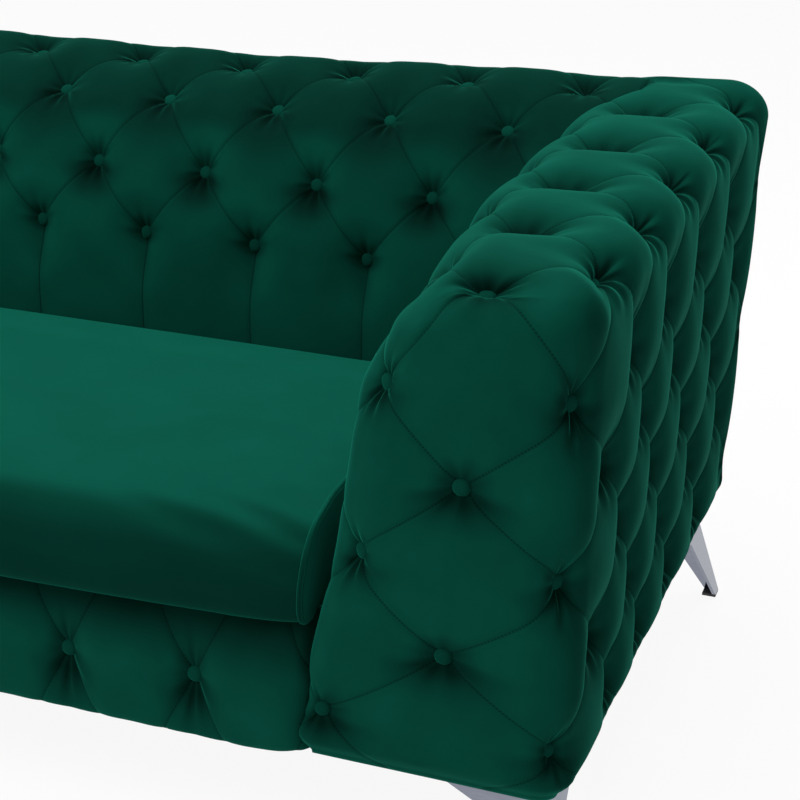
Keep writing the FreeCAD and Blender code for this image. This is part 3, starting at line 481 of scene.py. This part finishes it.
def border_surface(x, share):
    """One row of buttons whose seams fan to both edges; the edges roll in and the lower one is
    scalloped between the seams. Share runs from -1 at the lower edge to 1 at the upper."""
    low = BORDER_LOW + 0.016 * smooth(0.60, 0.71, np.abs(x))
    z = low + (BORDER_TOP - low) * (share + 1) / 2
    s, t = lattice(along(BORDER_KNOTS, x) + 1, (z - BORDER_ROW) / 0.165)
    sunk = sum(BORDER_TUFT) - tuft_height(s, t, *BORDER_TUFT)
    roll = 1 - (1 - np.abs(share) ** 5) ** 0.5
    depth = 0.043 - sunk - np.where(share > 0, 0.022, 0.012) * roll - 0.020 * smooth(-0.1, 1.0, share)
    depth = depth + 0.003 * smooth(0.60, 0.66, np.abs(x)) - 0.024 * smooth(0.672, 0.700, np.abs(x))
    z = z + 0.25 * sunk * smooth(-0.5, -1.0, share)
    return np.stack([x, BORDER_BOARD - depth, z], axis=-1), np.stack([s, t], axis=-1)


def border_cover():
    """The front rail's pad from arm to arm, and the buttons of its one row."""
    x = np.linspace(-BORDER_HALF, BORDER_HALF, 339)
    share = np.sin(np.linspace(-1, 1, 48) * np.pi / 2)
    x, share = np.meshgrid(x, share)
    front, pair = border_surface(x, share)
    back = np.stack([x, np.full_like(x, BORDER_BOARD - 0.0005), front[..., 2]], axis=-1)
    piece = shell("front_border_cover", front, back, pair)
    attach(piece, "sofa")
    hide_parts("front_border_pad")
    column = np.array([sign * x for x in BORDER_COLUMNS[:-1] for sign in (-1, 1)])
    low = border_surface(column, np.full(len(column), -0.999))[0][:, 2]
    p, _ = border_surface(column, 2 * (BORDER_ROW - low) / (BORDER_TOP - low) - 1)
    way = np.tile([0.0, -1.0, 0.0], (len(column), 1))
    p = p + BUTTON_SEAT * way
    return [piece, button_set("front_border_buttons_covered", p, way, "front_border_buttons")]


# Outside back
PANEL_HALF = 0.966
PANEL_LOW, PANEL_TALL = 0.172, 0.546
PANEL_SEAT = 0.371


def rear_panel():
    """A plain panel on the raked outside back, its middle a little full and its rim turned in; it
    stands fuller over both ends of the back's roll."""
    u, v = np.meshgrid(np.linspace(-1, 1, 201), np.linspace(0, 1, 81))
    z = PANEL_LOW + PANEL_TALL * v
    rim = 1 - np.maximum(np.abs(u) ** 40, np.abs(2 * v - 1) ** 24)
    seat = PANEL_SEAT + RAKE * height_share(z)
    y = seat + 0.009 * rim ** 0.5 + 0.004 * (1 - u ** 2) * (1 - (2 * v - 1) ** 2)
    y += 0.012 * smooth(0.30, 0.55, np.abs(u)) * smooth(0.50, 0.78, v) * rim ** 0.5
    front = np.stack([PANEL_HALF * u, y, z], axis=-1)
    back = np.stack([PANEL_HALF * u, seat - 0.0015, z], axis=-1)
    piece = shell("rear_panel", front, back, np.full(u.shape + (2,), MID_TUFT))
    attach(piece, "sofa")
    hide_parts("rear_cover")
    return [piece]


# Seat cushion
PUFF_STEPS = 20
PUFF_CAP = 0.005
PUFF_PRESSURE = 4
PUFF_FLOOR = 0.327
WELT = 0.0032
CUSHION_HALF = 0.682
CUSHION_CENTRE = np.array([-0.146, 0.366])
CUSHION_ROUND = 0.016
# Rings of an end panel: size next to the outline, and how far each stands out
END_RINGS = ((0.90, 0.0005), (0.75, 0.001), (0.6, 0.0015), (0.45, 0.002), (0.3, 0.0025),
             (0.15, 0.003), (0.02, 0.003))
CUSHION_OUTLINE = ((0.150, 0.301), (-0.430, 0.320), (-0.458, 0.323), (-0.468, 0.338), (-0.465, 0.371),
                   (-0.450, 0.404), (-0.420, 0.431), (-0.360, 0.445), (-0.200, 0.447), (0.000, 0.430),
                   (0.110, 0.410), (0.150, 0.392), (0.163, 0.366), (0.163, 0.320))


def cushion_section(count):
    """The cushion's side outline (y, z): its corner points joined and then rounded by a short
    running average along the way."""
    corners = np.array(CUSHION_OUTLINE + CUSHION_OUTLINE[:1])
    way = np.concatenate([[0], np.cumsum(np.linalg.norm(np.diff(corners, axis=0), axis=1))])
    spots = np.linspace(0, way[-1], count, endpoint=False)
    line = np.stack([np.interp(spots, way, corners[:, k]) for k in (0, 1)], axis=-1)
    reach = max(1, int(round(CUSHION_ROUND / (way[-1] / count))))
    weight = np.hanning(2 * reach + 3)[1:-1]
    shifts = range(-reach, reach + 1)
    return sum(w * np.roll(line, k, axis=0) for w, k in zip(weight, shifts)) / weight.sum()


def cushion_welt(name, x, outline):
    """A corded seam round one end panel: a small circle carried along the outline."""
    spine = CUSHION_CENTRE + (outline - CUSHION_CENTRE) * 1.004
    step = np.roll(spine, -1, axis=0) - np.roll(spine, 1, axis=0)
    out = unit(np.stack([-step[:, 1], step[:, 0]], axis=-1))
    out = out * np.sign(np.einsum("ij,ij->i", out, spine - CUSHION_CENTRE)[:, None])
    turn = np.linspace(0, 2 * np.pi, 11)[:-1]
    ring = spine[:, None] + WELT * np.cos(turn)[None, :, None] * out[:, None]
    side = np.broadcast_to(x + WELT * np.sin(turn), ring.shape[:2])
    points = np.concatenate([side[..., None], ring], axis=-1)
    rows, columns = points.shape[:2]
    number = np.arange(rows * columns).reshape(rows, columns)
    after, under = np.roll(number, -1, axis=1), np.roll(number, -1, axis=0)
    quads = np.stack([number, under, np.roll(under, -1, axis=1), after], axis=-1).reshape(-1, 4)
    points = points.reshape(-1, 3)
    piece = new_piece(name, points, outward(points, quads))
    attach(piece, "cushion")
    return piece


def puff(piece, seams):
    """Cloth swollen by pressure inside while its seams are held: every move is capped, points
    below a floor height don't sink, and the result is written to the mesh."""
    group = piece.vertex_groups.new(name="seam")
    group.add(seams.tolist(), 1.0, "REPLACE")
    cloth = piece.modifiers.new("puff", "CLOTH")
    cloth.settings.vertex_group_mass = "seam"
    cloth.settings.use_pressure = True
    cloth.settings.uniform_pressure_force = PUFF_PRESSURE
    cloth.settings.effector_weights.gravity = 0
    cloth.point_cache.frame_start, cloth.point_cache.frame_end = 1, PUFF_STEPS
    for step in range(1, PUFF_STEPS + 1):
        bpy.context.scene.frame_set(step)
    swollen = piece.evaluated_get(bpy.context.evaluated_depsgraph_get()).data
    start, end = (np.empty(3 * len(piece.data.vertices), dtype=np.float32) for _ in range(2))
    piece.data.vertices.foreach_get("co", start)
    swollen.vertices.foreach_get("co", end)
    piece.modifiers.remove(cloth)
    bpy.context.scene.frame_set(1)
    start, end = start.reshape(-1, 3), end.reshape(-1, 3)
    move = end - start
    size = np.linalg.norm(move, axis=1, keepdims=True)
    end = start + move * (1 - np.exp(-size / PUFF_CAP)) * PUFF_CAP / np.maximum(size, 1e-9)
    resting = start[:, 2] < PUFF_FLOOR
    end[resting, 2] = np.maximum(end[resting, 2], start[resting, 2])
    piece.data.vertices.foreach_set("co", end.ravel())
    piece.data.update()


def end_panel(ring, sign):
    """Points of the rings that lead from an end's outline to the middle of its panel."""
    rings = []
    for size, out in END_RINGS:
        x = np.full((len(ring), 1), sign * (CUSHION_HALF + out))
        rings.append(np.concatenate([x, CUSHION_CENTRE + (ring - CUSHION_CENTRE) * size], axis=1))
    return np.array(rings)


def seat_cushion():
    """The side outline, a little small, carried from end to end and drawn in to end panels at
    both, then swollen as cloth with its two end seams held."""
    outline = cushion_section(180)
    wide = np.sin(np.linspace(-1, 1, 121) * np.pi / 2)
    ends = 1 - 0.03 * np.abs(wide) ** 30
    ring = CUSHION_CENTRE + (outline - CUSHION_CENTRE)[None] * ends[:, None, None]
    middle = CUSHION_CENTRE[1]
    full = 1 + 0.02 * (1 - wide ** 2)
    ring[..., 1] = middle + (ring[..., 1] - middle) * full[:, None]
    front_share = np.clip(-ring[..., 0] / 0.45, 0, 1)
    ring[..., 0] += 0.020 * np.abs(wide[:, None]) ** 3 * front_share
    ring[..., 1] += 0.004 * np.abs(wide[:, None]) ** 3 * front_share
    x = np.repeat((CUSHION_HALF * wide)[:, None], len(outline), axis=1)
    body = np.concatenate([x[..., None], ring], axis=-1)
    slim = 1 - 0.03 * (1 - np.abs(wide) ** 8)
    body[..., 2] = middle + (body[..., 2] - middle) * slim[:, None]
    left, right = end_panel(body[0, :, 1:], -1)[::-1], end_panel(body[-1, :, 1:], 1)
    rings = np.concatenate([left, body, right])
    number, quads = ring_quads(*rings.shape[:2])
    half_ring = len(outline) // 2
    caps = []
    for row in (number[0], number[-1][::-1]):
        low, high = row[:half_ring], row[half_ring:][::-1]
        caps.append(np.stack([low[:-1], low[1:], high[1:], high[:-1]], axis=-1))
    points = rings.reshape(-1, 3)
    quads = outward(points, np.concatenate([quads] + caps))
    piece = new_piece("seat_cushion_cover", points, quads, np.full((len(quads), 4, 2), MID_TUFT))
    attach(piece, "cushion")
    puff(piece, np.concatenate([number[len(END_RINGS)], number[-1 - len(END_RINGS)]]))
    fine = piece.modifiers.new("fine", "SUBSURF")
    fine.levels = fine.render_levels = 1
    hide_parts("seat_cushion")
    return [piece] + [cushion_welt(f"cushion_welt_{side}", sign * (CUSHION_HALF - 0.004), body[0, :, 1:])
                      for side, sign in (("left", -1), ("right", 1))]


# Shading
VELVET_DARK = (0.0010, 0.036, 0.0235)
VELVET_LIGHT = (0.0016, 0.056, 0.0370)
VELVET_SHEEN = (0.02, 0.48, 0.32, 1)
STITCH = 0.0016


class Flow:
    """One shader value: arithmetic on it adds maths nodes, and add() any other node."""

    def __init__(self, tree, socket=None):
        self.tree, self.socket = tree, socket

    def add(self, kind, out=0, settings=None, **inputs):
        """A node of a kind; inputs are named by socket, _ for a space, or i0, i1 by place."""
        node = self.tree.nodes.new(kind)
        for key, item in (settings or {}).items():
            setattr(node, key, item)
        for key, item in inputs.items():
            place = int(key[1:]) if key[0] == "i" and key[1:].isdigit() else key.replace("_", " ")
            if isinstance(item, Flow):
                self.tree.links.new(item.socket, node.inputs[place])
            else:
                node.inputs[place].default_value = item
        return Flow(self.tree, node.outputs[out])

    def maths(self, operation, a, b=0.0):
        return self.add("ShaderNodeMath", settings={"operation": operation}, i0=a, i1=b)

    def __add__(self, other):
        return self.maths("ADD", self, other)

    def __sub__(self, other):
        return self.maths("SUBTRACT", self, other)

    def __mul__(self, other):
        return self.maths("MULTIPLY", self, other)

    def __truediv__(self, other):
        return self.maths("DIVIDE", self, other)

    def __rsub__(self, other):
        return self.maths("SUBTRACT", other, self)

    def ramp(self, low, high, start=0.0, end=1.0):
        """Low to high eased to start to end."""
        return self.add("ShaderNodeMapRange", settings={"interpolation_type": "SMOOTHSTEP"},
                        Value=self, From_Min=low, From_Max=high, To_Min=start, To_Max=end)

    def noise(self, scale, detail=2.0, roughness=0.5):
        return self.add("ShaderNodeTexNoise", Vector=self, Scale=scale, Detail=detail, Roughness=roughness)

    def tint(self, first, second):
        """Colour from first to second as the value goes from none to one."""
        return self.add("ShaderNodeMix", out=2, settings={"data_type": "RGBA"},
                        i0=self, i6=(*first, 1), i7=(*second, 1))

    def shaded(self, share):
        """This colour darkened by a share of one or less."""
        return self.add("ShaderNodeMix", out=2, settings={"data_type": "RGBA", "blend_type": "MULTIPLY"},
                        i0=1.0, i6=self, i7=share)


def new_material(name):
    """An empty material: its surface shader, a flow to build with and the object's own places."""
    material = bpy.data.materials.new(name)
    material.use_nodes = True
    tree = material.node_tree
    shader = tree.nodes["Principled BSDF"]
    flow = Flow(tree)
    return material, shader, flow, flow.add("ShaderNodeTexCoord", out=3)


def plug(flow, shader, name):
    flow.tree.links.new(flow.socket, shader.inputs[name])


def velvet(name, seams, tone=1.0, facing_shade=None, patches=0.5, painted_shadow_band=None):
    """Cut-pile cloth: deep green, brushed in soft patches, lighter at grazing angles by its sheen;
    with seams, thin stitched fold lines from the tuft map, short pleats round the buttons with
    their light and shade painted into the colour, painted shade along the seams' creases and
    painted shade round each button, darkest below it. Patches is how much the brushing shows. The
    facing shade (axis, low, high, end) paints shade on faces turned along an axis. The shadow band
    (low, high, end) paints a shadow that darkens the colour from one height up to another."""
    material, shader, flow, place = new_material(name)
    brushed = place.noise(9.0, 3.0, 0.55).ramp(0.30, 0.72)
    pile = place.noise(900.0, 2.0, 0.6)
    colour_share = brushed * patches + pile * 0.25 + (0.74 - patches) * 0.5
    height = pile * 0.25 + place.noise(60.0, 3.0, 0.6) * 0.5
    dark, light = (tuple(tone * c for c in colour) for colour in (VELVET_DARK, VELVET_LIGHT))
    if seams:
        pair = flow.add("ShaderNodeUVMap", settings={"uv_map": "tuft"})
        s = flow.add("ShaderNodeSeparateXYZ", Vector=pair)
        t = Flow(flow.tree, s.socket.node.outputs[1])
        off_s, off_t = s - s.maths("ROUND", s), t - t.maths("ROUND", t)
        gap_s = s.maths("ABSOLUTE", off_s) * SEAM_STEP
        gap_t = s.maths("ABSOLUTE", off_t) * SEAM_STEP
        near = s.maths("MINIMUM", gap_s, gap_t)
        first = s.maths("LESS_THAN", gap_s, gap_t)
        way = (first * t + (1.0 - first) * s) * SEAM_STEP
        dash = s.maths("PINGPONG", way, STITCH).ramp(0.0003, 0.0010)
        line = near.ramp(0.0004, 0.0016)
        far = s.maths("SQRT", gap_s * gap_s + gap_t * gap_t)
        turn = s.maths("ARCTAN2", off_t, off_s) * PLEAT_COUNT
        turn = turn + s.maths("ROUND", s) * PLEAT_PHASE[0] + t.maths("ROUND", t) * PLEAT_PHASE[1]
        far = far + flow.add("ShaderNodeAttribute", out=2, settings={"attribute_name": "ease"}) * 0.2
        # Below each button: a share that makes the pleats stronger there and paints a shadow there
        under = (off_t - off_s).ramp(*PLEAT_UNDER) * far.ramp(0.010, 0.062, 1.0, 0.0)
        pleat = s.maths("SINE", turn) * far.ramp(0.008, 0.046, 1.0, 0.0) * (under * 0.7 + 0.5)
        height = height + near.ramp(0.0, 0.0045) * 1.6 + pleat * 3.0
        # The pleats' ripple also lightens and darkens the colour, painted light and shade of their folds;
        # near the seams the colour darkens, painted shade in their creases
        colour_share = (colour_share + pleat * 0.25) * near.ramp(0.0, 0.012, 0.6, 1.0)
        shade = line + (1.0 - line) * dash.ramp(0.0, 1.0, 0.40, 0.80)
        # Painted shade: darker round each button's pit, with a painted shadow below the button
        shade = shade * far.ramp(0.006, 0.034, 0.45, 1.0) * (1.0 - under * 0.62)
        base = colour_share.tint(dark, light).shaded(shade)
    else:
        base = colour_share.tint(dark, light)
    # Painted shade on faces turned along the axis
    if facing_shade:
        axis, low, high, end = facing_shade
        facing = flow.add("ShaderNodeNewGeometry", out=1)
        turned = flow.add("ShaderNodeSeparateXYZ", out=axis, Vector=facing)
        turned = turned.maths("ABSOLUTE", turned)
        base = base.shaded(turned.ramp(low, high, 1.0, end))
    # Painted shadow: darker from one height up, standing for the cushion's shade on the front rail; it
    # stays in the colour when the cushion is lifted
    if painted_shadow_band:
        low, high, end = painted_shadow_band
        level = flow.add("ShaderNodeSeparateXYZ", out=2, Vector=place)
        base = base.shaded(level.ramp(low, high, 1.0, end))
    plug(base, shader, "Base Color")
    bump = flow.add("ShaderNodeBump", Strength=0.35, Distance=0.0012, Height=height)
    plug(bump, shader, "Normal")
    shader.inputs["Roughness"].default_value = 0.85
    shader.inputs["Specular IOR Level"].default_value = 0.012
    shader.inputs["Sheen Weight"].default_value = 0.35
    shader.inputs["Sheen Roughness"].default_value = 0.35
    shader.inputs["Sheen Tint"].default_value = VELVET_SHEEN
    return material


def plain(name, first, second, scale, roughness, metallic=0.0, stretch=(1, 1, 1), bump=0.2):
    """One finish in two close tones with a fine grain along stretch."""
    material, shader, flow, place = new_material(name)
    pulled = flow.add("ShaderNodeMapping", Vector=place, Scale=stretch)
    grain = pulled.noise(scale, 4.0, 0.6)
    plug(grain.ramp(0.3, 0.7).tint(first, second), shader, "Base Color")
    plug(grain.ramp(0.2, 0.8, roughness * 0.9, min(1.0, roughness * 1.1)), shader, "Roughness")
    plug(flow.add("ShaderNodeBump", Strength=bump, Distance=0.0006, Height=grain), shader, "Normal")
    shader.inputs["Metallic"].default_value = metallic
    return material


def weave(name, tone, pitch):
    """A plain weave: two crossing sets of threads, as ridges, with painted shade darkening the low places
    between them.
    """
    material, shader, flow, place = new_material(name)
    split = flow.add("ShaderNodeSeparateXYZ", Vector=place)
    y = Flow(flow.tree, split.socket.node.outputs[1])
    ridge = split.maths("PINGPONG", split, pitch) / pitch
    cross = split.maths("PINGPONG", y, pitch) / pitch
    height = split.maths("MAXIMUM", ridge, cross)
    # Painted shade: the colour follows the threads' height, darker in the low places
    plug(height.tint(tuple(0.6 * c for c in tone), tone), shader, "Base Color")
    plug(flow.add("ShaderNodeBump", Strength=0.4, Distance=0.0008, Height=height), shader, "Normal")
    shader.inputs["Roughness"].default_value = 0.9
    return material


looks = {
    # Painted shade by facing: arms darker on faces turned to the sides, the back on faces turned up, the
    # cushion on faces turned to front and back
    "tufted": velvet("velvet_tufted", True, 1.0, (0, 0.45, 0.95, 0.66)),
    "back": velvet("velvet_back", True, 1.0, (2, 0.15, 0.75, 0.36)),
    # Painted shadow on the front rail's upper part, under the cushion
    "border": velvet("velvet_border", True, 1.0, painted_shadow_band=(0.235, 0.310, 0.38)),
    # The cushion's velvet is painted 1.17 times lighter than the rest: painted light, a lit copy of the
    # same cloth
    "cushion": velvet("velvet_cushion", False, 1.17, (1, 0.2, 0.9, 0.40), 0.22),
    "button": velvet("velvet_button", False, 0.7),
    "smooth": velvet("velvet_smooth", False),
    "chrome": plain("polished_metal", (0.205, 0.222, 0.268), (0.250, 0.268, 0.322), 40.0, 0.10, 1.0,
                    (1, 1, 30), 0.03),
    "steel": plain("zinc_steel", (0.45, 0.46, 0.47), (0.55, 0.56, 0.57), 120.0, 0.35, 1.0),
    "plastic": plain("black_plastic", (0.012, 0.012, 0.013), (0.02, 0.02, 0.021), 300.0, 0.5),
    "webbing": weave("webbing", (0.25, 0.21, 0.15), 0.004),
    "cloth": weave("black_cloth", (0.02, 0.02, 0.022), 0.0015),
    "felt": plain("deck_felt", (0.007, 0.055, 0.040), (0.012, 0.080, 0.058), 500.0, 0.95),
    "tape": weave("zip_tape", (0.01, 0.05, 0.035), 0.0012),
    "ply": plain("birch_ply", (0.52, 0.37, 0.21), (0.66, 0.50, 0.31), 24.0, 0.6, 0.0, (1, 8, 8)),
}


def dress(piece, look):
    piece.data.materials.clear()
    piece.data.materials.append(looks[look])


# Building the pieces
for side, sign in (("left", -1), ("right", 1)):
    dress(arm_cover(side, sign), "tufted")
    for piece in arm_buttons(side, sign):
        dress(piece, "button")
for pieces, look in ((back_cover(), "back"), (border_cover(), "border")):
    dress(pieces[0], look)
    dress(pieces[1], "button")
for piece in seat_cushion():
    dress(piece, "cushion")
for piece in rear_panel():
    dress(piece, "smooth")

# The first start of a node's name that fits gives its look; the rest are plywood
NODE_LOOKS = (("leg_glides", "plastic"), ("leg_screws", "steel"), ("leg_", "chrome"),
              ("arm_tie_bolts", "steel"), ("seat_straps", "webbing"), ("seat_cross_straps", "webbing"),
              ("platform_cloth", "cloth"), ("dust_cover", "cloth"), ("deck_pad", "felt"),
              ("cushion_zip", "tape"))
for name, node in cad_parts.items():
    look = next((kind for start, kind in NODE_LOOKS if name.startswith(start)), "ply")
    dress(node, look)

# Stage, light and camera
def shown_rays(flow):
    """One for rays of the camera and for those that metal or glass sends on, else none."""
    seen = flow.add("ShaderNodeLightPath")
    outputs = seen.socket.node.outputs
    for kind in ("Is Glossy Ray", "Is Transmission Ray"):
        seen = seen + Flow(flow.tree, outputs[kind])
    return seen.maths("MINIMUM", seen, 1.0)


GROUND_WHITE = 0.92
bpy.ops.mesh.primitive_plane_add(size=60, location=(0, 0, -0.0005))
ground = bpy.context.object
ground.name = "ground"
material, shader, flow, place = new_material("pale_ground")
plug(place.noise(3.0).tint((0.86, 0.86, 0.86), (0.88, 0.88, 0.88)), shader, "Base Color")
shader.inputs["Roughness"].default_value = 0.95
white = flow.add("ShaderNodeEmission", Color=(1, 1, 1, 1), Strength=1.0)
lit = Flow(flow.tree, shader.outputs[0])
shown = flow.add("ShaderNodeMixShader", i0=shown_rays(flow) * GROUND_WHITE, i1=lit, i2=white)
flow.tree.links.new(shown.socket, flow.tree.nodes["Material Output"].inputs["Surface"])
ground.data.materials.append(material)

world = bpy.data.worlds.new("studio")
bpy.context.scene.world = world
world.use_nodes = True
tree = world.node_tree
flow = Flow(tree)
background = tree.nodes["Background"]
background.inputs["Color"].default_value = (1, 1, 1, 1)
tree.links.new(shown_rays(flow).ramp(0, 1, 0.35, 1.0).socket, background.inputs["Strength"])


def softbox(name, place, target, size, watts):
    """A square area light at a place, turned to a target."""
    data = bpy.data.lights.new(name, "AREA")
    data.shape, data.size, data.energy = "SQUARE", size, watts
    lamp = bpy.data.objects.new(name, data)
    lamp.location = place
    way = np.array(target) - np.array(place)
    tilt = math.acos(-way[2] / np.linalg.norm(way))
    lamp.rotation_euler = (tilt, 0, math.atan2(way[1], way[0]) - math.pi / 2)
    bpy.context.scene.collection.objects.link(lamp)


softbox("key", (-1.5, -2.1, 3.3), (0.2, 0.0, 0.4), 2.2, 120)
softbox("over", (0.4, 0.5, 3.4), (0.4, 0.0, 0.4), 2.4, 91)
softbox("fill", (3.2, -2.2, 1.6), (0.6, 0.0, 0.4), 2.0, 8)

eye = bpy.data.cameras.new("camera")
eye.sensor_width, eye.lens = 36, 83.87
camera = bpy.data.objects.new("camera", eye)
camera.location = (1.4044, -2.059, 1.3834)
camera.rotation_euler = (math.radians(90 - 23.78), 0, math.radians(20.58))
bpy.context.scene.collection.objects.link(camera)
bpy.context.scene.camera = camera
bpy.context.scene.view_settings.view_transform = "Standard"
